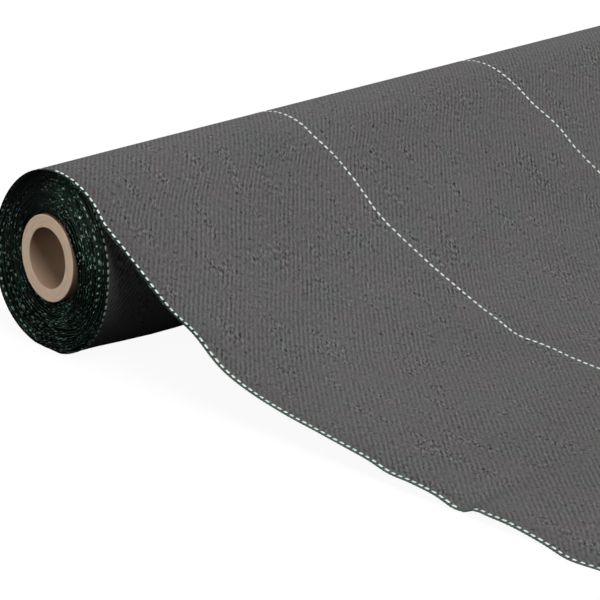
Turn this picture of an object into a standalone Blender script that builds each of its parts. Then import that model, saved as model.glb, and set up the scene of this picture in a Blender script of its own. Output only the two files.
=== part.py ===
"""Roll of woven weed control fabric, with its loose end run out over the floor.

Metres. X is the way the fabric is unrolled, Y runs along the tube and Z is up.
The origin is on the floor, under the middle of the roll. Angles on the roll are
counted from its top towards the unrolled side.
"""
import math

import bmesh
import bpy
from mathutils import Vector

# Fabric
fabric_width = 1.0
fabric_thickness = 0.0006

# Roll: the fabric's outermost turn, slightly oval because it is wound loosely
roll_radius = 0.074
roll_oval_share = 0.02
roll_oval_angle = math.radians(43)
rest_flat_depth = 0.0005
steps_per_turn = 40

# Cardboard tube, which sits off the middle of the loosely wound fabric
core_bore_radius = 0.0240
core_wall = 0.0105
core_stand_out = 0.005
core_offset_x = 0.0045
core_offset_z = 0.0067
core_steps = 48

# Tape that holds the start of the fabric on the tube
tape_thickness = 0.0002
tape_reach = 0.040
tape_length_share = 0.9
tape_steps = 6

# Turns that lie with the loose sheet, and turns wound on the tube
loose_turns = 4
tube_turns = 15
least_turn_gap = 0.0005
seat_clearance = 0.0003
running_clearance = 0.0006

# Loose sheet, from where it leaves the roll to its cut end
leave_angle = math.radians(34)
steep_run = 0.136
tail_angle = math.radians(6.2)
tail_height = 0.019
touch_down_radius = 0.9
floor_run = 0.100
sideways_drift_share = 0.028
steep_steps = 4
bend_steps = 7
tail_steps = 5
touch_down_steps = 3
floor_steps = 4

# Low folds of the loose sheet
fold_height = 0.003
fold_rise_run = 0.150
fold_length = 0.230
fold_spread = 0.700
plies_across = 8

# Marker yarns woven in: one by each edge and three guide lines between
yarn_width = 0.002
yarn_thickness = 0.0002
yarn_edge_inset = 0.0025
guide_line_count = 3
yarn_start_angle = math.radians(-150)

# Colours: red, green, blue, roughness
fabric_finish = (0.115, 0.115, 0.113, 0.72)
yarn_finish = (0.70, 0.82, 0.76, 0.55)
cardboard_finish = (0.56, 0.38, 0.27, 0.85)
tape_finish = (0.75, 0.68, 0.50, 0.40)

# Worked out from the sizes above
half_width = fabric_width / 2
half_fabric = fabric_thickness / 2
core_radius = core_bore_radius + core_wall
core_length = fabric_width + 2 * core_stand_out
core_from_roll = Vector((core_offset_x, 0, core_offset_z))
core_offset = core_from_roll.length
turn_pitch = fabric_thickness + least_turn_gap
inner_loop_radius = roll_radius - core_offset - loose_turns * turn_pitch
chord_share = math.cos(math.pi / steps_per_turn)
tape_radius = core_radius + seat_clearance + tape_thickness / 2
tube_turns_inner_radius = tape_radius + tape_thickness / 2 + seat_clearance + half_fabric
tube_turns_outer_radius = (inner_loop_radius - half_fabric) * chord_share - running_clearance - half_fabric
guide_line_spacing = fabric_width / (guide_line_count + 1)


def clear_scene():
    for thing in list(bpy.data.objects):
        bpy.data.objects.remove(thing, do_unlink=True)


def finish_material(name, finish):
    red, green, blue, roughness = finish
    material = bpy.data.materials.new(name)
    material.use_nodes = True
    shader = material.node_tree.nodes["Principled BSDF"]
    shader.inputs["Base Color"].default_value = (red, green, blue, 1)
    shader.inputs["Roughness"].default_value = roughness
    shader.inputs["Metallic"].default_value = 0
    material.diffuse_color = (red, green, blue, 1)
    return material


def loose_turn_place(turns_in):
    """Place on the turns that lie with the loose sheet, counted from the middle of the outermost one."""
    angle = leave_angle - 2 * math.pi * turns_in
    inward = (turns_in / loose_turns) ** 2
    oval = roll_oval_share * math.cos(2 * (angle - roll_oval_angle)) * (1 - inward)
    radius = roll_radius * (1 + oval) - turn_pitch * turns_in - core_offset * inward
    return core_from_roll * inward + radius * Vector((math.sin(angle), 0, math.cos(angle)))


lowest_place = min(loose_turn_place(step / steps_per_turn).z for step in range(steps_per_turn))
roll_centre = Vector((0, 0, half_fabric - rest_flat_depth - lowest_place))
core_centre = roll_centre + core_from_roll


def loose_turn_point(turns_in):
    """Point on the same turns in the part's frame, cut flat where the roll rests on the floor."""
    point = roll_centre + loose_turn_place(turns_in)
    point.z = max(point.z, half_fabric)
    return point


def tube_turn_point(turns_in):
    """Point on the turns wound on the tube, so many turns in from their outer end."""
    angle = leave_angle - 2 * math.pi * turns_in
    inward = turns_in / tube_turns
    radius = tube_turns_outer_radius + (tube_turns_inner_radius - tube_turns_outer_radius) * inward
    return core_centre + radius * Vector((math.sin(angle), 0, math.cos(angle)))


def wound_path(point_at, turns):
    """Points of a spiral from its inner end outwards."""
    steps = turns * steps_per_turn
    return [point_at((steps - step) / steps_per_turn) for step in range(steps + 1)]


def add_straight(path, angle, length, steps):
    start = path[-1].copy()
    along = Vector((math.cos(angle), 0, -math.sin(angle)))
    path.extend(start + along * (length * step / steps) for step in range(1, steps + 1))


def add_bend(path, angle_from, angle_to, radius, steps):
    """Arc that eases a downhill angle into a gentler one."""
    start = path[-1].copy()
    for step in range(1, steps + 1):
        angle = angle_from + (angle_to - angle_from) * step / steps
        across = math.sin(angle_from) - math.sin(angle)
        down = math.cos(angle) - math.cos(angle_from)
        path.append(start + Vector((radius * across, 0, -radius * down)))


def loose_path(leaving):
    """Points of the loose sheet, from where it leaves the roll to its cut end."""
    before, start = leaving
    slope = math.atan2(before.z - start.z, start.x - before.x) + math.pi / steps_per_turn
    path = [start.copy()]
    add_straight(path, slope, steep_run, steep_steps)
    bend_radius = (path[-1].z - tail_height) / (math.cos(tail_angle) - math.cos(slope))
    add_bend(path, slope, tail_angle, bend_radius, bend_steps)
    touch_down_drop = touch_down_radius * (1 - math.cos(tail_angle))
    tail_run = (path[-1].z - half_fabric - touch_down_drop) / math.sin(tail_angle)
    add_straight(path, tail_angle, tail_run, tail_steps)
    add_bend(path, tail_angle, 0, touch_down_radius, touch_down_steps)
    add_straight(path, 0, floor_run, floor_steps)
    return path


def fold_lift(run, y):
    """Height of the low folds, at a run along the sheet from where it leaves the roll."""
    rise = min(run / fold_rise_run, 1)
    wave = math.sin(2 * math.pi * (run / fold_length + y / fold_spread))
    cross_wave = math.sin(2 * math.pi * (run / fold_spread - y / fold_length) / 2)
    lift = fold_height * rise * (1 + wave + cross_wave / 2) / 2
    return max(lift - rest_flat_depth, 0)


def path_runs(path):
    runs = [0]
    for before, after in zip(path, path[1:]):
        runs.append(runs[-1] + (after - before).length)
    return runs


def path_normals(path):
    """Outward step at each point of a path in the XZ plane, mitred so that a strip keeps its thickness."""
    outward = []
    for before, after in zip(path, path[1:]):
        along = (after - before).normalized()
        outward.append(Vector((-along.z, 0, along.x)))
    normals = []
    for before, after in zip(outward[:1] + outward, outward + outward[-1:]):
        normals.append((before + after) / (1 + before.dot(after)))
    return normals


def strip_rows(path, stations, first_folded=None):
    """Rows of (point, normal) across a strip: two a row where it is wound, all stations where folded."""
    normals = path_normals(path)
    runs = path_runs(path)
    rows = []
    for step, (point, normal) in enumerate(zip(path, normals)):
        folded = first_folded is not None and step >= first_folded
        run = runs[step] - runs[first_folded] if folded else 0
        drift = run * sideways_drift_share
        row = []
        for y in stations if folded else (stations[0], stations[-1]):
            lift = fold_lift(run, y) if folded else 0
            height = max(point.z + lift, half_fabric)
            row.append((Vector((point.x, y + drift, height)), normal))
        rows.append(row)
    return rows


def raised_rows(rows, height):
    return [[(point + normal * height, normal) for point, normal in row] for row in rows]


def strip_faces(mesh, near, far):
    """Faces between two rows of vertices, one many-sided face where their counts differ."""
    if len(near) != len(far):
        mesh.faces.new(near + far[::-1])
        return
    for column in range(len(near) - 1):
        mesh.faces.new((near[column], near[column + 1], far[column + 1], far[column]))


def strip_solid(name, rows, thickness, material, origin=None):
    """Closed strip of one thickness about its rows of mid points."""
    origin = origin or Vector()
    mesh = bmesh.new()
    tops = []
    bottoms = []
    for row in rows:
        tops.append([mesh.verts.new(point + normal * thickness / 2 - origin) for point, normal in row])
        bottoms.append([mesh.verts.new(point - normal * thickness / 2 - origin) for point, normal in row])
    for step in range(len(rows) - 1):
        strip_faces(mesh, tops[step], tops[step + 1])
        strip_faces(mesh, bottoms[step + 1], bottoms[step])
        for side in (0, -1):
            mesh.faces.new((tops[step][side], tops[step + 1][side], bottoms[step + 1][side], bottoms[step][side]))
    for end in (0, -1):
        strip_faces(mesh, tops[end], bottoms[end])
    return finished_object(name, mesh, material)


def finished_object(name, mesh, material):
    bmesh.ops.recalc_face_normals(mesh, faces=mesh.faces)
    data = bpy.data.meshes.new(name)
    mesh.to_mesh(data)
    mesh.free()
    data.materials.append(material)
    for face in data.polygons:
        face.use_smooth = True
    data.set_sharp_from_angle(angle=math.radians(30))
    thing = bpy.data.objects.new(name, data)
    bpy.context.scene.collection.objects.link(thing)
    return thing


def core_tube(material):
    """Spiral-wound cardboard tube, standing proud of the fabric at both ends."""
    mesh = bmesh.new()
    rings = []
    for radius, y in (
        (core_radius, -core_length / 2),
        (core_radius, core_length / 2),
        (core_bore_radius, core_length / 2),
        (core_bore_radius, -core_length / 2),
    ):
        turns = [2 * math.pi * step / core_steps for step in range(core_steps)]
        rings.append([mesh.verts.new((radius * math.sin(turn), y, radius * math.cos(turn))) for turn in turns])
    for ring, following in zip(rings, rings[1:] + rings[:1]):
        for step in range(core_steps):
            after = (step + 1) % core_steps
            mesh.faces.new((ring[step], ring[after], following[after], following[step]))
    return finished_object("core_tube", mesh, material)


def start_tape(material):
    """Double-sided strip between the tube and the first turn, along the start of the fabric."""
    start_angle = leave_angle
    sweep = tape_reach / tape_radius
    path = []
    for step in range(tape_steps + 1):
        angle = start_angle + sweep * step / tape_steps
        path.append(tape_radius * Vector((math.sin(angle), 0, math.cos(angle))) + core_centre)
    half_length = half_width * tape_length_share
    rows = strip_rows(path, (-half_length, half_length))
    return strip_solid("start_tape", rows, tape_thickness, material, core_centre)


def yarn_places():
    """Name and place across the width of each marker yarn."""
    inset = half_width - yarn_edge_inset
    places = [("near_edge_yarn", -inset), ("far_edge_yarn", inset)]
    for line in range(1, guide_line_count + 1):
        places.append((f"guide_yarn_{line}", line * guide_line_spacing - half_width))
    return places


def sheet_stations():
    """Places across the sheet where its folds are shaped: even plies, and the edge yarns."""
    inset = half_width - yarn_edge_inset
    evenly = [fabric_width * ply / plies_across - half_width for ply in range(plies_across + 1)]
    return sorted(evenly + [-inset, inset])


def marker_yarn(name, y, path, first_folded, material):
    """Flat yarn just clear of the fabric's face, from low on the roll's back to the cut end."""
    start = first_folded - round((leave_angle - yarn_start_angle) / (2 * math.pi) * steps_per_turn)
    stations = (y - yarn_width / 2, y, y + yarn_width / 2)
    rows = [level_row(row) for row in strip_rows(path, stations, first_folded)[start:]]
    clear = half_fabric + seat_clearance + yarn_thickness / 2
    return strip_solid(name, raised_rows(rows, clear), yarn_thickness, material)


def level_row(row):
    """The two ends of a row, both at the height of the fabric under its middle."""
    height = row[len(row) // 2][0].z
    return [(Vector((point.x, point.y, height)), normal) for point, normal in (row[0], row[-1])]


def point_to_segment(point, start, end):
    along = end - start
    share = max(0, min(1, (point - start).dot(along) / along.length_squared))
    return (point - start - along * share).length


def least_gap(path, steps):
    """Least gap of a wound strip to itself, measured from its points to the turns beside them."""
    least = math.inf
    for index, point in enumerate(path):
        for other in range(index + steps // 2, min(index + 2 * steps, len(path) - 1)):
            least = min(least, point_to_segment(point, path[other], path[other + 1]))
    return least - fabric_thickness


def build():
    clear_scene()
    fabric = finish_material("woven_fabric", fabric_finish)
    wound = finish_material("wound_fabric", fabric_finish)
    cardboard = finish_material("cardboard", cardboard_finish)
    tape = finish_material("tape", tape_finish)

    axis = bpy.data.objects.new("roll_axis", None)
    axis.location = core_centre
    bpy.context.scene.collection.objects.link(axis)
    tube_path = wound_path(tube_turn_point, tube_turns)
    wound_rows = strip_rows(tube_path, (-half_width, half_width))
    turning = [
        core_tube(cardboard),
        start_tape(tape),
        strip_solid("wound_fabric", wound_rows, fabric_thickness, wound, core_centre),
    ]
    for thing in turning:
        thing.parent = axis

    turns_path = wound_path(loose_turn_point, loose_turns)
    first_folded = len(turns_path) - 1
    sheet_path = turns_path[:-1] + loose_path(turns_path[-2:])
    sheet_rows = strip_rows(sheet_path, sheet_stations(), first_folded)
    strip_solid("loose_sheet", sheet_rows, fabric_thickness, fabric)
    for name, y in yarn_places():
        marker_yarn(name, y, sheet_path, first_folded, finish_material(name, yarn_finish))

    print(f"least gap of the turns on the tube: {least_gap(tube_path, steps_per_turn) * 1000:.3f} mm")
    print(f"least gap of the turns by the sheet: {least_gap(turns_path, steps_per_turn) * 1000:.3f} mm")
    print(f"tube axis at x {core_centre.x:.5f}, z {core_centre.z:.5f}; cut end at x {sheet_path[-1].x:.4f}")
    bpy.context.view_layer.update()


build()
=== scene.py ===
"""Looks of the roll of woven weed control fabric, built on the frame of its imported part.

Metres, in the part's frame: X is the way the fabric is unrolled, Y runs along the tube
and Z is up. Angles on the roll are counted from its top towards the unrolled side.
A place on the fabric is its run, from the inner end of its turns outwards, and its
place across the width. Turns in are counted inwards from where the loose sheet leaves
the roll, and on the inner turns alone from their outer end.
"""

import math
from functools import partial

import bpy
import numpy as np
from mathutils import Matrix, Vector


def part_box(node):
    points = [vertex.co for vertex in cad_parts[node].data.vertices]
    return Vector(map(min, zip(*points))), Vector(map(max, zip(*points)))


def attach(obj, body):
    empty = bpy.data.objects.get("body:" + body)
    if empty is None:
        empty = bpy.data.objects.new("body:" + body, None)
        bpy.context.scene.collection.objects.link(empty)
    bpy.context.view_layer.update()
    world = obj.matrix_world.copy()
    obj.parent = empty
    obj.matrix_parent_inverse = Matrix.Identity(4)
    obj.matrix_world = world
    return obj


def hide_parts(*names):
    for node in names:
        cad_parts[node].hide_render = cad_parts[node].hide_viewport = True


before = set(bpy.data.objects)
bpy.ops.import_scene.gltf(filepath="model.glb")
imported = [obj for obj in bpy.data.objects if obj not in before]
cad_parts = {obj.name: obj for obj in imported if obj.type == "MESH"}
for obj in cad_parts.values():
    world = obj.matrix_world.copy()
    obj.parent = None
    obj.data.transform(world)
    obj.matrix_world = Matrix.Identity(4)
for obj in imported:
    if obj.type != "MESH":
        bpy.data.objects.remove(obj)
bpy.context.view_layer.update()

# Fabric, and how far apart its points lie across the width and by its edges
fabric_width = 1.0
fabric_thickness = 0.0005
fabric_edges = (("near", -1), ("far", 1))
across_gap = 0.025
edge_gaps = (0, 0.0015, 0.0035, 0.006, 0.010, 0.016)

# Outer turns, which lie with the loose sheet
roll_radius = 0.074
roll_oval_share = 0.02
roll_oval_angle = math.radians(43)
core_offset_x = 0.0045
core_offset_z = 0.0067
core_offset_power = 1.3
loose_turns = 9
loose_depth = 0.0064
loose_steps = 90
front_gap = 0.0053
front_gap_angle = math.radians(112)
front_gap_turns = (0.95, 1.35)
floor_turn_gap = 0.0009
floor_turns_from = 0.7

# Dents and bulges of the roll's near end: angle, half angle, height
end_dents = (
    (math.radians(-42), math.radians(22), -0.0008),
    (math.radians(-90), math.radians(24), 0.0016),
    (math.radians(-126), math.radians(33), 0.0060),
)
end_dent_reach = 0.060
dent_start_turns = (0, 0.1)

# Dent of the outermost turn alone, under the loose sheet at the near end
outer_dent_angle = math.radians(92)
outer_dent_half = math.radians(38)
outer_dent = -0.0036
outer_dent_turns = (0.85, 1.6)

# Bulge of the roll's front where it sags to the floor
sag_angle = math.radians(152)
sag_half = math.radians(28)
sag_height = 0.0063

# Inner turns on the tube
tube_turns = 20
tube_steps = 72
tube_turns_outer_radius = 0.0585
tube_turns_inner_radius = 0.0356

# How the edges of all turns wander in and out of the roll's end
wander_start_turns = (0.1, 1.2)
middle_stand_out = 0.0030
middle_share = 0.55
middle_half_share = 0.22
top_set_back = 0.0080
top_set_back_angle = math.radians(-20)
top_set_back_half = math.radians(55)
top_set_back_turns = (0.55, 1.3)
top_set_back_end_shares = (0.35, 0.9)
start_set_back = 0.0016
start_set_back_turns = (1, 0.3)
end_lean = 0.0055
end_lean_angle = math.radians(12)
end_lean_shares = (0.10, 0.55)
lean_end_run = 0.035
end_tilt_share = 0.06
end_tilt_turns = (0, 0.4)
end_tilt_core_share = 0.5

# How far the turns next to the tube are set back: angle, half angle, depth
core_set_backs = (
    (math.radians(-5), math.radians(65), -0.0018),
    (math.radians(105), math.radians(50), 0.0004),
    (math.radians(-130), math.radians(60), 0.0010),
)
core_shares = (0.55, 0.95)

# Stretches of the turns' edges that are set back: angle, half angle, turns in, half turns, depth
edge_set_backs = (
    (math.radians(112), math.radians(70), 2.7, 1.1, 0.0080),
    (math.radians(-135), math.radians(55), 4.5, 3.0, -0.0028),
)

# Waves of the turns' edges along the tube: turns a wave, start and height
edge_waves = (
    (4.3, 0.0, 0.0015),
    (2.27, 1.0, 0.0006),
    (0.637, 2.0, 0.0008),
    (0.412, 4.0, 0.0006),
    (0.282, 1.5, 0.0005),
    (0.153, 3.0, 0.0003),
)
edge_wave_top_loss = 0.8

# Loose sheet, from where it leaves the roll to its cut end
leave_angle = math.radians(34)
leave_step = math.radians(9)
steep_run = 0.136
tail_angle = math.radians(6.2)
tail_height = 0.019
touch_down_radius = 0.9
floor_run = 0.100
sideways_drift_share = 0.028
line_step = 0.0005
sheet_row_gap = 0.005

# Low folds of the loose sheet, as in the part
fold_height = 0.003
fold_rise_run = 0.150
fold_length = 0.230
fold_spread = 0.700
rest_flat_depth = 0.0005

# Smaller folds: middle, half length, height and reach from the near edge
small_folds = (
    (0.150, 0.045, -0.0035, 2.0),
    (0.205, 0.050, -0.0035, 0.15),
    (0.330, 0.040, 0.0015, 0.30),
    (0.164, 0.020, 0.0065, 0.10),
    (0.320, 0.022, -0.0005, 0.08),
    (0.358, 0.014, -0.0020, 0.08),
    (0.419, 0.012, -0.0036, 0.08),
    (0.438, 0.008, 0.0012, 0.08),
    (0.462, 0.027, 0.0025, 0.08),
    (0.520, 0.020, -0.0012, 0.08),
)
edge_sway_x = 0.522
edge_sway_half = 0.020
edge_sway = -0.0035
edge_sway_reach = 0.050
nick_x = 0.4265
nick_half = 0.0045
nick_tuck = 0.003
nick_drop = 0.0022
nick_reach = 0.012

# Paper tube
tube_bore_radius = 0.0240
tube_outer_radius = 0.0345
tube_rounding = 0.0008
tube_rounding_steps = 3
tube_sides = 128
tube_ply_count = 11
tube_ply_steps = 4
tube_ply_relief = 0.00012
tube_length_steps = 60
tube_cut_across_share = -0.06
tube_cut_up_share = 0.06

# Dashes of the marker yarns: size and outline of each low pad, and how much they vary
dash_pitch = 0.0062
dash_length = 0.0041
dash_width = 0.0021
dash_rise = 0.00045
dash_sink = 0.0001
dash_along_shares = (-1, -0.82, -0.4, 0.4, 0.82, 1)
dash_across_shares = (-1, -0.6, 0.6, 1)
dash_crown_power = 4
dash_end_narrowing = 0.25
dash_scatter_share = 0.02
dash_longest_share = 1.08
dash_sway_share = 0.4
little_worn_share = 0.12
worn_share = 0.65
least_height = 0.00002

# Where the lines of dashes run
dash_edge_inset = 0.0025
bright_ring_turns = (1.02, 0.62)
bright_lead_turns = 0.10
nick_gap = 0.006
guide_line_count = 3
guide_turns = 1.25

# Sways of the guide lines on the roll: sideways, and the runs between which they end
roll_sways = (
    (-0.0093, -0.005, 0.033),
    (-0.013, -0.020, 0.070),
    (-0.013, -0.020, 0.070),
)

# Sways of the guide lines on the loose sheet: line, run, half run and sideways
sheet_sways = (
    (1, 0.090, 0.032, -0.0048),
    (1, 0.185, 0.040, 0.0030),
    (1, 0.252, 0.018, -0.0045),
    (1, 0.310, 0.040, -0.0024),
    (2, 0.085, 0.022, -0.0032),
)

# Looped edge
loop_pitch = 0.0031
loop_step = 0.0006
loop_radius = 0.00046
loop_swell_share = 0.45
loop_sides = 5
loop_probe_share = 0.004

# Noises in the materials have a scale and a detail, those of patches also two levels

# Weave: slanting ridges that wave, break and fade
ridge_pitch = 0.0036
ridge_angle = math.radians(39.5)
ridge_bend = 0.8
ridge_bends = (12, 1)
ridge_small_bend = 0.5
ridge_small_bends = (240, 1)
ridge_breaks = (1, 1)
ridge_break_along_scale = 120
ridge_break_levels = (0.20, 0.52)
ridge_fading = (34, 2, 0.36, 0.62)
ridge_least_share = 0.45
tape_pitch = 0.00117
tape_relief_share = 0.25
break_relief_share = 0.6
weave_relief = 0.00012

# Colours of the woven tapes, and what makes them lighter and darker
brown_tape = (0.1155, 0.1083, 0.1100)
green_tape = (0.1078, 0.1110, 0.1085)
tape_patches = (24, 2, 0.42, 0.60)
tape_shades = (9, 2)
tape_shade_least = 0.84
tape_shade_range = 0.24
ridge_shade = 0.32
grain = (1, 1)
grain_over_scale = 2.0
grain_along_scale = 260
grain_shade = 1.2
frayed_grain_shade = 2.6
frayed_patches = (40, 2, 0.50, 0.68)
frayed_across_share = 1.7
frayed_run_share = 0.5
dark_specks = (1, 0, 0.70, 0.80)
dark_speck_over_scale = 0.9
dark_speck_along_scale = 300
dark_speck_shade = -0.55
light_specks = (1.3, 0, 0.74, 0.86)
light_speck_shade = 0.45

# Green strip by the fabric's edges: on the turns wide and dark, as painted shade, on the loose sheet narrow
# and in its lit colours
shade_strip_width = 0.007
strip_end = (0.0022, 0.0036)
shaded_edge_green = (0.004, 0.026, 0.013)
shaded_edge_black = (0.004, 0.007, 0.006)
lit_strip_runs = (0.10, 0.20)
sheet_edge_light = (0.085, 0.128, 0.103)
sheet_edge_dark = (0.056, 0.070, 0.062)
thread_levels = (-0.6, 0.8)
edge_shade_reach = (0.006, 0.022)
edge_shade_share = 0.35
edge_shade = 0.7

# Marker yarns: their clean and dirty colours, dirt and fibres. The ring, worn and inner yarns are the same
# yarn darkened, as painted shade under the sheet and between the turns
yarn_colours = ((0.80, 0.88, 0.83), (0.62, 0.72, 0.66))
shaded_ring_yarn_colours = ((0.45, 0.55, 0.49), (0.19, 0.28, 0.235))
shaded_worn_yarn_colours = ((0.34, 0.43, 0.38), (0.10, 0.15, 0.125))
shaded_inner_yarn_colours = ((0.44, 0.58, 0.50), (0.035, 0.09, 0.06))
dirt_patches = (260, 2, 0.35, 0.65)
fibres = (1400, 1)
fibre_relief = 0.00015

# Colours of the loops on the roll, darker than on the loose sheet, partly their black yarn and partly
# painted shade, and which of them are green or pale
loop_black = (0.003, 0.005, 0.004)
loop_green = (0.0085, 0.050, 0.027)
loop_pale = (0.19, 0.36, 0.275)
green_loops = (620, 1, 0.50, 0.60)
green_loop_patches = (55, 1, 0.36, 0.62)
pale_loops = (640, 0, 0.60, 0.70)
pale_loop_patches = (70, 1, 0.40, 0.60)
sheet_green_loops = (380, 1, 0.42, 0.58)

# Side of the roll's ends painted lighter, as painted light from the key lamp's side with painted shade on
# the rest, and their sector painted in shade, where only black tapes show
lit_side_angle = math.radians(32)
lit_side_reach = (0.000, 0.032)
unlit_side_share = 0.95
shaded_sector = (math.radians(-85), math.radians(-60), math.radians(-12), math.radians(12))

# Cardboard: its sides and the bore's mouth darker than its end face as painted shade, the bore lighter
# deeper in as painted light
board_face = (0.79, 0.60, 0.44)
board_face_dark = (0.63, 0.46, 0.345)
shaded_board_side = (0.33, 0.21, 0.135)
shaded_board_side_dark = (0.21, 0.13, 0.08)
shaded_board_mouth = (0.35, 0.233, 0.158)
lit_board_inside = (0.72, 0.52, 0.37)
bore_light_depth = 0.045
bore_colour_share = 0.9
end_facing_levels = (0.5, 0.9)
plies = (1, 2)
ply_radius_scale = 1500
ply_turn_scale = 2.2
ply_levels = (0.35, 0.68)
ply_relief_share = 1.2
seam_pitch = 0.105
seam_half_share = 0.006
seam_colour_share = 0.6
seam_relief_share = -1.2
board_fibres = (900, 2)
board_fibre_share = 0.35
board_stains = (22, 2)
board_stain_share = 0.5
board_relief = 0.0002

# Paper tape, whose creases also have a distortion
paper_light = (0.80, 0.72, 0.54)
paper_dark = (0.66, 0.56, 0.38)
paper_creases = (420, 3, 0.6)
paper_relief = 0.0002

# Camera
camera_place = (1.39925, -1.58372, 0.69071)
camera_yaw = math.radians(45.9)
camera_pitch = math.radians(20.20)
camera_roll = math.radians(0.25)
camera_lens = 143.94
camera_sensor = 36
camera_reach = 30

# Lamps: name, direction, strength and spread
lamps = (
    ("key", (0.48, -0.10, 0.77), 2.37, math.radians(30)),
    ("back", (-0.55, 0.65, 0.52), 0.42, math.radians(60)),
    ("end", (0.04, -0.99, 0.10), 1.62, math.radians(50)),
)
white = (1, 1, 1, 1)
fill_level = 0.12
floor_reach = 8
floor_bounce = 0.05
floor_shadow_share = 0.08
floor_open_light = 0.8

# Worked out from the sizes above
half_width = fabric_width / 2
half_fabric = fabric_thickness / 2
core_offset = math.hypot(core_offset_x, core_offset_z)
core_low, core_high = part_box("core_tube")
core_x = (core_low.x + core_high.x) / 2
core_z = (core_low.z + core_high.z) / 2
tube_half_length = (core_high.y - core_low.y) / 2
roll_x = core_x - core_offset_x
roll_z = core_z - core_offset_z
all_turns = loose_turns + tube_turns
turn_run = 2 * math.pi * roll_radius
chance = np.random.default_rng(7)


class Nodes:
    """Short way to add and join the nodes of one material."""

    def __init__(self, name):
        self.material = bpy.data.materials.new(name)
        self.material.use_nodes = True
        self.tree = self.material.node_tree
        self.shader = self.tree.nodes["Principled BSDF"]

    def add(self, kind, **settings):
        node = self.tree.nodes.new(kind)
        for setting, value in settings.items():
            setattr(node, setting, value)
        return node

    def feed(self, socket, value):
        if isinstance(value, bpy.types.NodeSocket):
            self.tree.links.new(value, socket)
        else:
            socket.default_value = value

    def math(self, operation, *values):
        node = self.add("ShaderNodeMath", operation=operation)
        for socket, value in zip(node.inputs, values):
            self.feed(socket, value)
        return node.outputs[0]

    def plus(self, first, second):
        return self.math("ADD", first, second)

    def minus(self, first, second):
        return self.math("SUBTRACT", first, second)

    def times(self, first, second):
        return self.math("MULTIPLY", first, second)

    def times_plus(self, first, second, third):
        return self.math("MULTIPLY_ADD", first, second, third)

    def wave(self, value, pitch):
        return self.math("SINE", self.times(value, 2 * math.pi / pitch))

    def vector(self, x, y, z=0.0):
        node = self.add("ShaderNodeCombineXYZ")
        for socket, value in zip(node.inputs, (x, y, z)):
            self.feed(socket, value)
        return node.outputs[0]

    def scaled(self, x, x_scale, y, y_scale):
        """Place for a noise, from two values and the scale of each."""
        return self.vector(self.times(x, x_scale), self.times(y, y_scale))

    def split(self, vector):
        node = self.add("ShaderNodeSeparateXYZ")
        self.feed(node.inputs[0], vector)
        return tuple(node.outputs)

    def place(self):
        """Place on the object, in the part's frame."""
        return self.add("ShaderNodeTexCoord").outputs["Object"]

    def from_core(self, place):
        """X, Y and Z of a place, with X and Z counted from the tube's axis."""
        x, y, z = self.split(place)
        return self.minus(x, core_x), y, self.minus(z, core_z)

    def noise(self, place, scale, detail, distortion=0.0):
        node = self.add("ShaderNodeTexNoise")
        self.feed(node.inputs["Vector"], place)
        self.feed(node.inputs["Scale"], scale)
        self.feed(node.inputs["Detail"], detail)
        self.feed(node.inputs["Distortion"], distortion)
        return node.outputs["Fac"]

    def steps(self, value, start, end):
        """0 below start, 1 above end and smooth between them."""
        node = self.add("ShaderNodeMapRange", interpolation_type="SMOOTHSTEP")
        self.feed(node.inputs["Value"], value)
        self.feed(node.inputs["From Min"], start)
        self.feed(node.inputs["From Max"], end)
        return node.outputs["Result"]

    def patches(self, place, scale, detail, start, end):
        """1 on patches of a noise and 0 off them."""
        return self.steps(self.noise(place, scale, detail), start, end)

    def mix(self, factor, first, second):
        node = self.add("ShaderNodeMix", data_type="RGBA")
        self.feed(node.inputs["Factor"], factor)
        for socket, value in ((node.inputs[6], first), (node.inputs[7], second)):
            self.feed(socket, value if isinstance(value, bpy.types.NodeSocket) else (*value, 1))
        return node.outputs[2]

    def shade(self, colour, factor):
        """A colour made lighter or darker by a factor."""
        node = self.add("ShaderNodeVectorMath", operation="SCALE")
        self.feed(node.inputs[0], colour)
        self.feed(node.inputs["Scale"], factor)
        return node.outputs[0]

    def bump(self, height, distance):
        node = self.add("ShaderNodeBump")
        self.feed(node.inputs["Height"], height)
        self.feed(node.inputs["Distance"], distance)
        self.feed(self.shader.inputs["Normal"], node.outputs["Normal"])

    def bump_fibres(self, place):
        self.bump(self.noise(place, *fibres), fibre_relief)

    def finish(self, colour, roughness, specular):
        """The material, once its shader has its colour and finish."""
        self.feed(self.shader.inputs["Base Color"], colour)
        self.shader.inputs["Roughness"].default_value = roughness
        self.shader.inputs["Specular IOR Level"].default_value = specular
        return self.material


def weave_ridges(nodes, place, over, along):
    """Ridges of the twill at places over and along them: their wave, and how broken they are."""
    bend = nodes.times(nodes.noise(place, *ridge_bends), ridge_bend)
    small_bend = nodes.times(nodes.noise(place, *ridge_small_bends), ridge_small_bend)
    wave = nodes.wave(nodes.plus(nodes.plus(over, bend), small_bend), 1)
    break_place = nodes.vector(over, nodes.times(along, ridge_break_along_scale))
    broken = nodes.noise(break_place, *ridge_breaks)
    fading = nodes.patches(place, *ridge_fading)
    shows = nodes.times_plus(fading, 1 - ridge_least_share, ridge_least_share)
    shows = nodes.times(shows, nodes.steps(broken, *ridge_break_levels))
    return nodes.times(wave, shows), broken


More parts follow.
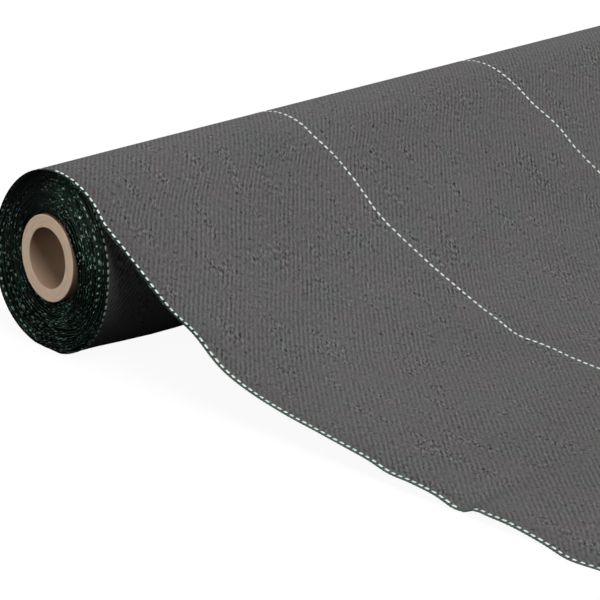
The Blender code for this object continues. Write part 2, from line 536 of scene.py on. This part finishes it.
def tape_colour(nodes, place, over, along, wave):
    """Mottled colour of the tapes, with their grain, frayed patches and specks."""
    run, across, _ = nodes.split(place)
    colour = nodes.mix(nodes.patches(place, *tape_patches), brown_tape, green_tape)
    level = nodes.times_plus(nodes.noise(place, *tape_shades), tape_shade_range, tape_shade_least)
    level = nodes.times_plus(wave, ridge_shade, level)
    frayed_place = nodes.scaled(across, frayed_across_share, run, frayed_run_share)
    frayed = nodes.patches(frayed_place, *frayed_patches)
    grain_place = nodes.scaled(over, grain_over_scale, along, grain_along_scale)
    off_middle = nodes.minus(nodes.noise(grain_place, *grain), 0.5)
    grain_level = nodes.times(off_middle, nodes.times_plus(frayed, frayed_grain_shade, grain_shade))
    level = nodes.plus(level, grain_level)
    dark_place = nodes.scaled(over, dark_speck_over_scale, along, dark_speck_along_scale)
    level = nodes.times_plus(nodes.patches(dark_place, *dark_specks), dark_speck_shade, level)
    light_place = nodes.vector(nodes.times(along, grain_along_scale), over)
    level = nodes.times_plus(nodes.patches(light_place, *light_specks), light_speck_shade, level)
    return nodes.shade(colour, level)


def add_strip(nodes, run, across, colour, shaded_strip_until):
    """Colour with the threads of the strip by the fabric's edges added to it: wide and dark on the turns,
    as painted shade.
    """
    from_edge = nodes.minus(half_width, nodes.math("ABSOLUTE", across))
    # Painted shade: the strip is wider on the turns, and darker until the fabric leaves the roll
    on_shaded_turns = nodes.math("LESS_THAN", run, shaded_strip_until)
    lit_from = nodes.plus(shaded_strip_until, turn_run)
    out_of_shade = nodes.steps(nodes.minus(run, lit_from), *lit_strip_runs)
    strip_light = nodes.mix(out_of_shade, shaded_edge_green, sheet_edge_light)
    strip_dark = nodes.mix(out_of_shade, shaded_edge_black, sheet_edge_dark)
    threads = nodes.steps(nodes.wave(run, loop_pitch), *thread_levels)
    from_strip = nodes.times_plus(on_shaded_turns, -shade_strip_width, from_edge)
    in_strip = nodes.minus(1.0, nodes.steps(from_strip, *strip_end))
    near_strip = nodes.minus(1.0, nodes.steps(from_edge, *edge_shade_reach))
    colour = nodes.mix(nodes.times(near_strip, edge_shade_share), colour, nodes.shade(colour, edge_shade))
    return nodes.mix(in_strip, colour, nodes.mix(threads, strip_dark, strip_light))


def woven_material(name, shaded_strip_until):
    """Woven plastic tape: slanting twill ridges, mottled tapes, dark specks and a green edge."""
    nodes = Nodes(name)
    place = nodes.add("ShaderNodeUVMap").outputs["UV"]
    run, across, _ = nodes.split(place)
    over = nodes.times(run, math.sin(ridge_angle) / ridge_pitch)
    over = nodes.times_plus(across, math.cos(ridge_angle) / ridge_pitch, over)
    along = nodes.times(run, math.cos(ridge_angle))
    along = nodes.times_plus(across, -math.sin(ridge_angle), along)
    wave, broken = weave_ridges(nodes, place, over, along)
    colour = tape_colour(nodes, place, over, along, wave)
    colour = add_strip(nodes, run, across, colour, shaded_strip_until)
    crossings = nodes.times(nodes.wave(run, tape_pitch), nodes.wave(across, tape_pitch))
    height = nodes.times_plus(crossings, tape_relief_share, wave)
    height = nodes.times_plus(broken, break_relief_share, height)
    nodes.bump(height, weave_relief)
    return nodes.finish(colour, roughness=0.58, specular=0.3)


def key_lit_side(nodes, place):
    """1 on the side of the roll's ends that the key lamp lights, less on the rest: painted light and shade.
    """
    x, _, z = nodes.from_core(place)
    towards = nodes.plus(nodes.times(x, math.sin(lit_side_angle)), nodes.times(z, math.cos(lit_side_angle)))
    return nodes.times_plus(nodes.steps(towards, *lit_side_reach), 1 - unlit_side_share, unlit_side_share)


def outside_shaded_sector(nodes, place):
    """0 on the sector of the roll's ends painted in shade, where only black tapes show, 1 elsewhere."""
    x, _, z = nodes.from_core(place)
    turn = nodes.math("ARCTAN2", x, z)
    first, first_full, last_full, last = shaded_sector
    after_first = nodes.steps(turn, first, first_full)
    before_last = nodes.minus(1.0, nodes.steps(turn, last_full, last))
    return nodes.minus(1.0, nodes.times(after_first, before_last))


def yarn_material(name, clean, dirty, side_lit=False):
    """Twisted pale yarn, a little dirty, and where asked painted lighter on the key lamp's side of the
    roll's ends.
    """
    nodes = Nodes(name)
    place = nodes.place()
    colour = nodes.mix(nodes.patches(place, *dirt_patches), dirty, clean)
    # Painted light: lighter on the side of the roll's ends that the key lamp lights, painted shade on the
    # rest
    if side_lit:
        colour = nodes.shade(colour, key_lit_side(nodes, place))
    nodes.bump_fibres(place)
    return nodes.finish(colour, roughness=0.6, specular=0.35)


def sheet_loop_material(name):
    """Looped ends of the cross tapes along the loose sheet: grey and green."""
    nodes = Nodes(name)
    place = nodes.place()
    colour = nodes.mix(nodes.patches(place, *sheet_green_loops), sheet_edge_dark, sheet_edge_light)
    nodes.bump_fibres(place)
    return nodes.finish(colour, roughness=0.6, specular=0.25)


def loop_material(name):
    """Looped ends of the cross tapes on the roll: near black, with some green and a few pale threads,
    darker than on the loose sheet, partly as painted shade.
    """
    nodes = Nodes(name)
    place = nodes.place()
    # No green or pale threads on the sector painted in shade
    unshaded = outside_shaded_sector(nodes, place)
    green = nodes.times(nodes.patches(place, *green_loops), nodes.patches(place, *green_loop_patches))
    green = nodes.times(green, unshaded)
    pale = nodes.times(nodes.patches(place, *pale_loops), nodes.patches(place, *pale_loop_patches))
    # Pale threads show mostly on the key lamp's side of the ends: painted light
    pale = nodes.times(nodes.times(pale, key_lit_side(nodes, place)), unshaded)
    colour = nodes.mix(pale, nodes.mix(green, loop_black, loop_green), loop_pale)
    nodes.bump_fibres(place)
    return nodes.finish(colour, roughness=0.6, specular=0.25)


def board_material(name):
    """Spiral-wound cardboard: fine plies on its end, slanting seams and fibres on its sides. Its sides are
    darker than its end as painted shade, and its bore lighter deeper in as painted light.
    """
    nodes = Nodes(name)
    place = nodes.place()
    x, y, z = nodes.from_core(place)
    radius = nodes.math("SQRT", nodes.plus(nodes.times(x, x), nodes.times(z, z)))
    turn = nodes.math("ARCTAN2", x, z)
    _, facing, _ = nodes.split(nodes.add("ShaderNodeNewGeometry").outputs["Normal"])
    on_end = nodes.steps(nodes.math("ABSOLUTE", facing), *end_facing_levels)

    layers = nodes.noise(nodes.scaled(radius, ply_radius_scale, turn, ply_turn_scale), *plies)
    end_colour = nodes.mix(nodes.steps(layers, *ply_levels), board_face, board_face_dark)

    wound_place = nodes.plus(y, nodes.times(turn, seam_pitch / (2 * math.pi)))
    seam = nodes.math("FRACT", nodes.math("DIVIDE", wound_place, seam_pitch))
    seam_line = nodes.math("LESS_THAN", nodes.math("ABSOLUTE", nodes.minus(seam, 0.5)), seam_half_share)
    fibrous = nodes.noise(place, *board_fibres)
    stained = nodes.times(nodes.noise(place, *board_stains), board_stain_share)
    darker = nodes.times_plus(fibrous, board_fibre_share, stained)
    # Painted shade: the sides take darker colours than the end face
    side_colour = nodes.mix(darker, shaded_board_side, shaded_board_side_dark)
    side_colour = nodes.mix(nodes.times(seam_line, seam_colour_share), side_colour, shaded_board_side_dark)

    # Painted light: the bore gets lighter deeper in, as if lit through its far end
    from_mouth = nodes.minus(tube_half_length, nodes.math("ABSOLUTE", y))
    bore_colour = nodes.mix(nodes.steps(from_mouth, 0.0, bore_light_depth), shaded_board_mouth, lit_board_inside)
    inside = nodes.math("LESS_THAN", radius, (tube_bore_radius + tube_outer_radius) / 2)
    side_colour = nodes.mix(nodes.times(inside, bore_colour_share), side_colour, bore_colour)

    height = nodes.times_plus(seam_line, seam_relief_share, fibrous)
    height = nodes.times_plus(nodes.times(layers, on_end), ply_relief_share, height)
    nodes.bump(height, board_relief)
    return nodes.finish(nodes.mix(on_end, side_colour, end_colour), roughness=0.88, specular=0.2)


def tape_material(name):
    """Creased paper tape."""
    nodes = Nodes(name)
    creased = nodes.noise(nodes.place(), *paper_creases)
    nodes.bump(creased, paper_relief)
    return nodes.finish(nodes.mix(creased, paper_light, paper_dark), roughness=0.45, specular=0.5)


def new_piece(name, points, faces, material, body, uvs=None):
    """Smooth mesh piece that rides on a body."""
    data = bpy.data.meshes.new(name)
    data.from_pydata(points.reshape(-1, 3).tolist(), [], faces.tolist())
    data.materials.append(material)
    data.polygons.foreach_set("use_smooth", [True] * len(data.polygons))
    if uvs is not None:
        corners = np.empty(len(data.loops), int)
        data.loops.foreach_get("vertex_index", corners)
        layer = data.uv_layers.new(name="UVMap")
        layer.data.foreach_set("uv", uvs[corners].astype(np.float32).ravel())
    data.update()
    thing = bpy.data.objects.new(name, data)
    bpy.context.scene.collection.objects.link(thing)
    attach(thing, body)
    return thing


def grid_faces(rows, columns, first=0, closed_across=False):
    """Quads of a grid of vertices, as an array of four numbers a face."""
    row = np.arange(rows - 1)[:, None]
    column = np.arange(columns if closed_across else columns - 1)[None, :]
    after = (column + 1) % columns
    this_row, next_row = row * columns, (row + 1) * columns
    corners = (this_row + column, this_row + after, next_row + after, next_row + column)
    return np.stack(corners, -1).reshape(-1, 4) + first


def unit(vectors):
    """Vectors scaled to a length of one."""
    return vectors / np.linalg.norm(vectors, axis=-1, keepdims=True)


def smooth(value, start, end):
    """0 below start, 1 above end and smooth between them."""
    share = np.clip((value - start) / (end - start), 0, 1)
    return share * share * (3 - 2 * share)


def hump(value, middle, half):
    """1 at the middle, and near nothing at twice the half width from it."""
    return np.exp(-(((value - middle) / half) ** 2))


def angle_hump(angle, middle, half):
    """Hump in an angle that may have gone round more than once."""
    away = np.remainder(angle - middle + math.pi, 2 * math.pi) - math.pi
    return hump(away, 0, half)


class Fabric:
    """A length of fabric as a grid of points: rows along its run, columns across its width."""

    def __init__(self, points, runs, places):
        self.points = points
        self.runs = runs
        self.places = places
        along = np.gradient(points, axis=0)
        across = np.gradient(points, axis=1)
        self.normals = unit(np.cross(along, across))

    def at(self, run, place, lift):
        """Points lifted off the fabric's middle, at runs and places across the width."""
        row = np.clip(np.searchsorted(self.runs, run) - 1, 0, len(self.runs) - 2)
        column = np.clip(np.searchsorted(self.places, place) - 1, 0, len(self.places) - 2)
        down = (run - self.runs[row]) / (self.runs[row + 1] - self.runs[row])
        over = (place - self.places[column]) / (self.places[column + 1] - self.places[column])
        down, over = down[..., None], over[..., None]
        found = []
        for grid in (self.points, self.normals):
            near = grid[row, column] * (1 - over) + grid[row, column + 1] * over
            far = grid[row + 1, column] * (1 - over) + grid[row + 1, column + 1] * over
            found.append(near * (1 - down) + far * down)
        return found[0] + unit(found[1]) * np.asarray(lift)[..., None]

    def solid(self, name, material, body):
        """The fabric itself, closed all round, with its run and place as UV."""
        rows, columns = self.points.shape[:2]
        count = rows * columns
        upper = self.points + self.normals * half_fabric
        lower = self.points - self.normals * half_fabric
        top = grid_faces(rows, columns)[:, ::-1]
        bottom = grid_faces(rows, columns, count)
        row = np.arange(rows - 1) * columns
        column = np.arange(columns - 1)
        last = count - columns
        rims = [
            np.stack([row, row + columns, row + columns + count, row + count], -1),
            np.stack([row + columns, row, row + count, row + columns + count], -1) + columns - 1,
            np.stack([column + 1, column, column + count, column + 1 + count], -1),
            np.stack([column, column + 1, column + 1 + count, column + count], -1) + last,
        ]
        uv = np.stack(np.broadcast_arrays(self.runs[:, None], self.places[None, :]), -1).reshape(-1, 2)
        points = np.concatenate([upper, lower])
        faces = np.concatenate([top, bottom, *rims])
        return new_piece(name, points, faces, material, body, np.concatenate([uv, uv]))


def places_across(middle):
    """Places across the width: those given, and more by the edges, where they are seen."""
    edge = half_width - np.array(edge_gaps)
    return np.sort(np.concatenate([-edge, middle, edge]))


def measured_runs(x, z):
    """Lengths along a line of points, from its start."""
    return np.concatenate([[0], np.cumsum(np.hypot(np.diff(x), np.diff(z)))])


def turn_angle(turns_in):
    """Angle on the roll, so many turns in."""
    return leave_angle - 2 * math.pi * turns_in


def wander(turns_in):
    """Shift of the fabric's edges along the tube, so many turns in: minus is out of the near end."""
    angle = turn_angle(turns_in)
    share = np.clip(turns_in / all_turns, 0, 1)
    at_top = angle_hump(angle, top_set_back_angle, top_set_back_half)
    waves = (height * np.sin(2 * math.pi * turns_in / turns + start) for turns, start, height in edge_waves)
    shift = sum(waves) * (1 - edge_wave_top_loss * at_top)
    shift -= middle_stand_out * hump(share, middle_share, middle_half_share)
    for middle, half, depth in core_set_backs:
        shift += depth * angle_hump(angle, middle, half) * smooth(share, *core_shares)
    top_ends = 1 - smooth(share, *top_set_back_end_shares)
    shift += top_set_back * at_top * smooth(turns_in, *top_set_back_turns) * top_ends
    for middle, half, turns, half_turns, depth in edge_set_backs:
        shift += depth * angle_hump(angle, middle, half) * hump(turns_in, turns, half_turns)
    first, full = start_set_back_turns
    shift += start_set_back * smooth(turns_in, all_turns - first, all_turns - full)
    shift = shift * smooth(turns_in, *wander_start_turns)
    leans = 1 - smooth(share, *end_lean_shares)
    shift += end_lean * (1 + np.cos(angle - end_lean_angle)) / 2 * leans
    tilts = smooth(turns_in, *end_tilt_turns) * (1 - end_tilt_core_share * share)
    return shift - end_tilt_share * roll_radius * np.sin(angle) * tilts


def lowest(turns_in):
    """Least height of the fabric's middle where the turns lie flat on each other on the floor."""
    return half_fabric + floor_turn_gap * np.maximum(turns_in - floor_turns_from, 0)


def loose_turn_line(turns_in):
    """Places (x, z) on the outer turns, so many turns in from where the sheet leaves."""
    angle = turn_angle(turns_in)
    share = turns_in / loose_turns
    inward = share**core_offset_power
    oval = roll_oval_share * np.cos(2 * (angle - roll_oval_angle)) * (1 - inward)
    radius = roll_radius * (1 + oval) - loose_depth * share - core_offset * inward
    at_front = np.clip(np.cos(angle - front_gap_angle), 0, 1) ** 2
    radius = radius - front_gap * at_front * smooth(turns_in, *front_gap_turns) * (1 - share)
    x = roll_x + core_offset_x * inward + radius * np.sin(angle)
    z = roll_z + core_offset_z * inward + radius * np.cos(angle)
    return x, np.maximum(z, lowest(turns_in))


def tube_turn_line(turns_in):
    """Places (x, z) on the inner turns, so many turns in from their outer end."""
    angle = turn_angle(turns_in)
    share = turns_in / tube_turns
    radius = tube_turns_outer_radius + (tube_turns_inner_radius - tube_turns_outer_radius) * share
    return core_x + radius * np.sin(angle), core_z + radius * np.cos(angle)


def sheet_line():
    """Places (x, z) of the loose sheet, from where it leaves the roll to its cut end."""
    start_x, start_z = loose_turn_line(0.0)
    before_x, before_z = loose_turn_line(leave_step / (2 * math.pi))
    slope = math.atan2(before_z - start_z, start_x - before_x) + leave_step / 2
    bend_top = start_z - steep_run * math.sin(slope)
    bend_radius = (bend_top - tail_height) / (math.cos(tail_angle) - math.cos(slope))
    touch_down_drop = touch_down_radius * (1 - math.cos(tail_angle))
    tail_run = (tail_height - half_fabric - touch_down_drop) / math.sin(tail_angle)
    stretches = (
        (steep_run, slope, slope),
        (bend_radius * (slope - tail_angle), slope, tail_angle),
        (tail_run, tail_angle, tail_angle),
        (touch_down_radius * tail_angle, tail_angle, 0),
        (floor_run, 0, 0),
    )
    x, z = [np.array([start_x])], [np.array([start_z])]
    for length, start, end in stretches:
        count = round(length / line_step)
        angle = start + (end - start) * (np.arange(count) + 0.5) / count
        x.append(x[-1][-1] + np.cumsum(np.cos(angle)) * length / count)
        z.append(z[-1][-1] - np.cumsum(np.sin(angle)) * length / count)
    x, z = np.concatenate(x), np.concatenate(z)
    rows = round(measured_runs(x, z)[-1] / sheet_row_gap)
    keep = np.unique(np.round(np.linspace(0, len(x) - 1, rows)).astype(int))
    return x[keep], z[keep]


def sheet_runs(fabric, left_at):
    """Places x of the near edge along the loose sheet, and their runs from where it leaves the roll."""
    on_sheet = fabric.runs >= left_at
    return fabric.points[on_sheet, 0, 0], fabric.runs[on_sheet] - left_at


def fold_lift(run, y):
    """Height of the low folds, as in the part."""
    rise = np.minimum(run / fold_rise_run, 1)
    wave = np.sin(2 * math.pi * (run / fold_length + y / fold_spread))
    cross_wave = np.sin(2 * math.pi * (run / fold_spread - y / fold_length) / 2)
    return np.maximum(fold_height * rise * (1 + wave + cross_wave / 2) / 2 - rest_flat_depth, 0)


def turn_dents(turns_in, places):
    """How far the outer turns stand out: dents of the near end, and the sag of the front."""
    angle = turn_angle(turns_in)
    inward = 1 - turns_in / loose_turns
    dent = sum(depth * angle_hump(angle, middle, half) for middle, half, depth in end_dents)
    outer = outer_dent * angle_hump(angle, outer_dent_angle, outer_dent_half)
    dent = dent * inward + outer * (1 - smooth(turns_in, *outer_dent_turns))
    sag = sag_height * angle_hump(angle, sag_angle, sag_half) * inward
    near_end = hump(places, -half_width, end_dent_reach)
    stand_out = dent[:, None] * near_end + sag[:, None] * (1 - near_end)
    return stand_out * smooth(turns_in, *dent_start_turns)[:, None]


def loose_fabric():
    """The outer turns and the loose sheet, as one length of fabric."""
    turns_in = np.linspace(loose_turns, 0, loose_turns * loose_steps + 1)
    turn_x, turn_z = loose_turn_line(turns_in)
    sheet_x, sheet_z = sheet_line()
    x, z = np.concatenate([turn_x, sheet_x[1:]]), np.concatenate([turn_z, sheet_z[1:]])
    runs = measured_runs(x, z)
    left_at = runs[len(turn_x) - 1]
    out = np.maximum(runs - left_at, 0)
    turns_in = np.concatenate([turns_in, np.zeros(len(sheet_x) - 1)])
    places = places_across(np.arange(-half_width + across_gap, half_width - across_gap / 2, across_gap))
    angle = turn_angle(turns_in)[:, None]
    stand_out = turn_dents(turns_in, places)
    x, z, out = x[:, None], z[:, None], out[:, None]
    on_sheet = out > 0
    y = places + out * sideways_drift_share
    y = y + wander(turns_in)[:, None] * (1 - smooth(out, 0, lean_end_run))
    height = z + stand_out * np.cos(angle) + np.where(on_sheet, fold_lift(out, places), 0)
    from_edge = places + half_width
    for middle, half_length, lift, reach in small_folds:
        bump = hump(x, middle, half_length) * hump(from_edge, 0, reach)
        height = height + np.where(on_sheet, lift * bump, 0)
    nick = hump(x, nick_x, nick_half) * hump(from_edge, 0, nick_reach) * on_sheet
    sway = hump(x, edge_sway_x, edge_sway_half) * hump(from_edge, 0, edge_sway_reach) * on_sheet
    y = y + nick_tuck * nick + edge_sway * sway
    height = np.maximum(height - nick_drop * nick, lowest(turns_in)[:, None])
    points = np.stack(np.broadcast_arrays(x + stand_out * np.sin(angle), y, height), -1)
    return Fabric(points, runs, places), left_at


def tube_fabric():
    """The inner turns, wound on the tube."""
    turns_in = np.linspace(tube_turns, 0, tube_turns * tube_steps + 1)
    x, z = tube_turn_line(turns_in)
    places = places_across([-half_width / 2, 0, half_width / 2])
    y = places + wander(turns_in + loose_turns)[:, None]
    points = np.stack(np.broadcast_arrays(x[:, None], y, z[:, None]), -1)
    return Fabric(points, measured_runs(x, z), places)


def guide_sway(line, left_at, run):
    """How far a guide line is off its straight, at runs of a fabric that leaves the roll at a run."""
    out = run - left_at
    on_roll, start, end = roll_sways[line - 1]
    sway = on_roll * (1 - smooth(out, start, end))
    for swaying, middle, half, sideways in sheet_sways:
        if swaying == line:
            sway = sway + sideways * hump(out, middle, half)
    return sway


def dashes(name, fabric, place, stretches, material, body, worn=little_worn_share, sway_at=None):
    """Dashes of a marker yarn along stretches of the fabric, a low pad on each face of it."""
    middles = [np.arange(start + dash_pitch, end - dash_pitch / 2, dash_pitch) for start, end in stretches]
    middles = np.concatenate(middles)
    count = len(middles)
    middles = middles + chance.normal(0, dash_pitch * dash_scatter_share, count)
    lengths = dash_length * chance.uniform(1 - worn, dash_longest_share, count)
    sways = chance.normal(0, dash_width * dash_sway_share * worn, count)
    along = np.array(dash_along_shares)[:, None]
    across = np.array(dash_across_shares)
    narrow = 1 - dash_end_narrowing * along**dash_crown_power
    crown = np.minimum(1 - along**dash_crown_power, 1 - across**dash_crown_power)
    rise = half_fabric - dash_sink + dash_rise * crown
    run = middles[:, None, None] + lengths[:, None, None] / 2 * along
    over = place + sways[:, None, None] + dash_width / 2 * narrow * across
    if sway_at is not None:
        over = over + sway_at(run)
    run = np.broadcast_to(run, over.shape)
    quads = grid_faces(*rise.shape)
    points, faces = [], []
    for side, pads_before in ((1, 0), (-1, count)):
        first = (np.arange(count) + pads_before) * rise.size
        side_quads = quads[:, ::-1] if side > 0 else quads
        faces.append((side_quads[None] + first[:, None, None]).reshape(-1, 4))
        points.append(fabric.at(run, over, np.broadcast_to(side * rise, over.shape)).reshape(-1, 3))
    points = np.concatenate(points)
    points[:, 2] = np.maximum(points[:, 2], least_height)
    piece = new_piece(name, points, np.concatenate(faces), material, body)
    return piece


def looped_edge(name, fabric, side, stretch, material, body):
    """Small loops of the cross tapes along a stretch of one edge of the fabric."""
    runs = np.arange(*stretch, loop_step)
    swell = np.abs(np.sin(math.pi * runs / loop_pitch))
    radius = loop_radius * (1 - loop_swell_share + loop_swell_share * swell)
    turn = 2 * math.pi * np.arange(loop_sides)[:, None] / loop_sides
    edge = np.full(len(runs), side * half_width)
    middle = fabric.at(runs, edge, np.zeros(len(runs)))
    normal = fabric.at(runs, edge, np.ones(len(runs))) - middle
    inner = fabric.at(runs, edge * (1 - loop_probe_share), np.zeros(len(runs)))
    outward = unit(middle - inner)
    spokes = outward[:, None] * np.cos(turn) + normal[:, None] * np.sin(turn) * side
    points = middle[:, None] + spokes * radius[:, None, None]
    points[..., 2] = np.maximum(points[..., 2], least_height)
    faces = grid_faces(len(runs), loop_sides, closed_across=True)
    piece = new_piece(name, points, faces, material, body)
    return piece


def tube_end_profile():
    """Radii and places along the tube over its far end, from the outside in."""
    drops = []
    for step in range(tube_rounding_steps + 1):
        turn = math.pi / 2 * step / tube_rounding_steps
        drops.append((tube_rounding * (1 - math.cos(turn)), tube_rounding * (1 - math.sin(turn))))
    profile = [(tube_outer_radius - inward, tube_half_length - back) for inward, back in drops]
    bore_edge = [(tube_bore_radius + inward, tube_half_length - back) for inward, back in drops[::-1]]
    wall = tube_outer_radius - tube_bore_radius - 2 * tube_rounding
    wall_steps = tube_ply_steps * tube_ply_count
    for step in range(1, wall_steps):
        share = step / wall_steps
        relief = tube_ply_relief * (1 - math.cos(2 * math.pi * share * tube_ply_count)) / 2
        profile.append((tube_outer_radius - tube_rounding - wall * share, tube_half_length - relief))
    return profile + bore_edge


def paper_tube(material):
    """Cardboard tube with rounded edges and the plies of its wall showing on its ends."""
    far_end = tube_end_profile()
    near_end = [(radius, -y) for radius, y in far_end]
    straight = tube_half_length - 2 * tube_rounding
    bore = [(tube_bore_radius, y) for y in np.linspace(-straight, straight, tube_length_steps)]
    sleeve = [(tube_outer_radius, y) for y in np.linspace(straight, -straight, tube_length_steps)]
    profile = np.array(near_end + bore + far_end[::-1] + sleeve)
    turn = 2 * math.pi * np.arange(tube_sides) / tube_sides
    radius, y = profile[:, :1], profile[:, 1:]
    x, z = radius * np.sin(turn), radius * np.cos(turn)
    at_near_end = 1 - smooth(y + tube_half_length, tube_outer_radius, 2 * tube_outer_radius)
    y = y + (tube_cut_across_share * x + tube_cut_up_share * z) * at_near_end
    points = np.stack(np.broadcast_arrays(core_x + x, y, core_z + z), -1)
    faces = grid_faces(len(profile) + 1, tube_sides, closed_across=True) % (len(profile) * tube_sides)
    return new_piece("paper_tube", points, faces, material, "roll")


def add_loose_fabric(loops):
    """The outer turns and the loose sheet: the cloth, the yarns and loops on it, and its length."""
    yarn = yarn_material("marker_yarn", *yarn_colours)
    # The worn and ring yarns are darker copies of the yarn: painted shade between the turns and under the
    # sheet
    shaded_worn_yarn = yarn_material("shaded_worn_marker_yarn", *shaded_worn_yarn_colours, side_lit=True)
    shaded_ring_yarn = yarn_material("shaded_ring_marker_yarn", *shaded_ring_yarn_colours)
    sheet_loops = sheet_loop_material("sheet_edge_loops")
    fabric, left_at = loose_fabric()
    cloth = fabric.solid("cloth", woven_material("woven_fabric", left_at - turn_run), "sheet")
    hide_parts("loose_sheet")

    end = fabric.runs[-1]
    inset = half_width - dash_edge_inset
    nick_run = left_at + np.interp(nick_x, *sheet_runs(fabric, left_at))
    ring_start, ring_end = (left_at - turns * turn_run for turns in bright_ring_turns)
    sheet_start = left_at - bright_lead_turns * turn_run
    ring = [(ring_start, ring_end)]
    bright = (sheet_start, nick_run - nick_gap / 2), (nick_run + nick_gap / 2, end)
    worn = (fabric.runs[0], ring_start), (ring_end, sheet_start)
    on_cloth = []
    for name, side in fabric_edges:
        place = side * inset
        edge_dashes = dashes(f"{name}_edge_dashes", fabric, place, bright, yarn, "sheet")
        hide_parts(f"{name}_edge_yarn")
        on_cloth.append(edge_dashes)
        on_cloth.append(dashes(f"{name}_ring_dashes", fabric, place, ring, shaded_ring_yarn, "sheet"))
        on_cloth.append(dashes(f"{name}_worn_shaded_dashes", fabric, place, worn, shaded_worn_yarn, "sheet", worn_share))
    guided = [(left_at - guide_turns * turn_run, end)]
    for line in range(1, guide_line_count + 1):
        place = line * fabric_width / (guide_line_count + 1) - half_width
        sway_at = partial(guide_sway, line, left_at)
        guide = dashes(f"guide_dashes_{line}", fabric, place, guided, yarn, "sheet", sway_at=sway_at)
        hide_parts(f"guide_yarn_{line}")
        on_cloth.append(guide)
    # Loops on the roll take the darker colours, partly painted shade, and those off it the lighter ones of
    # the loose sheet
    out_of_shade = left_at + sum(lit_strip_runs) / 2
    on_roll, off_roll = (0, out_of_shade), (out_of_shade, end)
    for name, side in fabric_edges:
        on_cloth.append(looped_edge(f"{name}_ring_loops", fabric, side, on_roll, loops, "sheet"))
        on_cloth.append(looped_edge(f"{name}_sheet_loops", fabric, side, off_roll, sheet_loops, "sheet"))
    return cloth, on_cloth, float(end)


def add_wound_fabric(loops):
    """The inner turns: their fabric, the yarns and loops on it, and its length."""
    # The inner yarn is a darker copy of the yarn: painted shade between the turns
    shaded_inner_yarn = yarn_material("shaded_inner_marker_yarn", *shaded_inner_yarn_colours, side_lit=True)
    fabric = tube_fabric()
    end = fabric.runs[-1]
    turns = fabric.solid("wound_turns", woven_material("wound_fabric", end), "roll")
    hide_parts("wound_fabric")
    on_turns = []
    for name, side in fabric_edges:
        place = side * (half_width - dash_edge_inset)
        worn = dashes(f"{name}_turn_dashes", fabric, place, [(0, end)], shaded_inner_yarn, "roll", worn_share)
        on_turns.append(worn)
        on_turns.append(looped_edge(f"{name}_turn_loops", fabric, side, (0, end), loops, "roll"))
    return turns, on_turns, float(end)


def build():
    """All pieces of the roll, and the lengths of its two sheets printed."""
    loops = loop_material("edge_loops")
    cloth, on_cloth, cloth_length = add_loose_fabric(loops)
    turns, on_turns, turns_length = add_wound_fabric(loops)
    tube = paper_tube(board_material("cardboard"))
    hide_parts("core_tube")
    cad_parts["start_tape"].data.materials.clear()
    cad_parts["start_tape"].data.materials.append(tape_material("paper_tape"))
    print(f"loose fabric {cloth_length:.3f} m, wound fabric {turns_length:.3f} m")


def add_camera():
    """Camera of the photo."""
    camera = bpy.data.objects.new("camera", bpy.data.cameras.new("camera"))
    camera.data.lens = camera_lens
    camera.data.sensor_width = camera_sensor
    camera.data.clip_end = camera_reach
    camera.location = camera_place
    camera.rotation_euler = (math.pi / 2 - camera_pitch, 0, camera_yaw)
    camera.rotation_euler.rotate_axis("Z", camera_roll)
    bpy.context.scene.collection.objects.link(camera)
    bpy.context.scene.camera = camera


def add_lamp(name, direction, strength, spread):
    """Sun that shines from a direction."""
    lamp = bpy.data.lights.new(name, "SUN")
    lamp.energy = strength
    lamp.angle = spread
    thing = bpy.data.objects.new(name, lamp)
    thing.rotation_euler = Vector(direction).to_track_quat("Z", "Y").to_euler()
    bpy.context.scene.collection.objects.link(thing)


def add_world():
    """Even white all round: soft as a light, full white to the camera."""
    world = bpy.data.worlds.new("studio")
    world.use_nodes = True
    bpy.context.scene.world = world
    tree = world.node_tree
    background = tree.nodes["Background"]
    path = tree.nodes.new("ShaderNodeLightPath")
    level = tree.nodes.new("ShaderNodeMapRange")
    level.inputs["To Min"].default_value = fill_level
    level.inputs["To Max"].default_value = 1
    tree.links.new(path.outputs["Is Camera Ray"], level.inputs["Value"])
    tree.links.new(level.outputs["Result"], background.inputs["Strength"])
    background.inputs["Color"].default_value = white


def add_floor():
    """White floor that keeps the object's shadow and throws little light back on it."""
    nodes = Nodes("studio_floor")
    seen = nodes.add("ShaderNodeLightPath").outputs["Is Camera Ray"]
    glow = nodes.times(seen, 1 - floor_shadow_share * floor_open_light)
    nodes.shader.inputs["Emission Color"].default_value = white
    nodes.feed(nodes.shader.inputs["Emission Strength"], glow)
    colour = nodes.mix(seen, (floor_bounce,) * 3, (floor_shadow_share,) * 3)
    corners = [(x * floor_reach, y * floor_reach, 0) for x, y in ((-1, -1), (1, -1), (1, 1), (-1, 1))]
    data = bpy.data.meshes.new("floor")
    data.from_pydata(corners, [], [(0, 1, 2, 3)])
    data.materials.append(nodes.finish(colour, roughness=1, specular=0))
    floor = bpy.data.objects.new("floor", data)
    bpy.context.scene.collection.objects.link(floor)


build()
add_camera()
for lamp_values in lamps:
    add_lamp(*lamp_values)
add_world()
add_floor()
bpy.context.scene.view_settings.view_transform = "Standard"
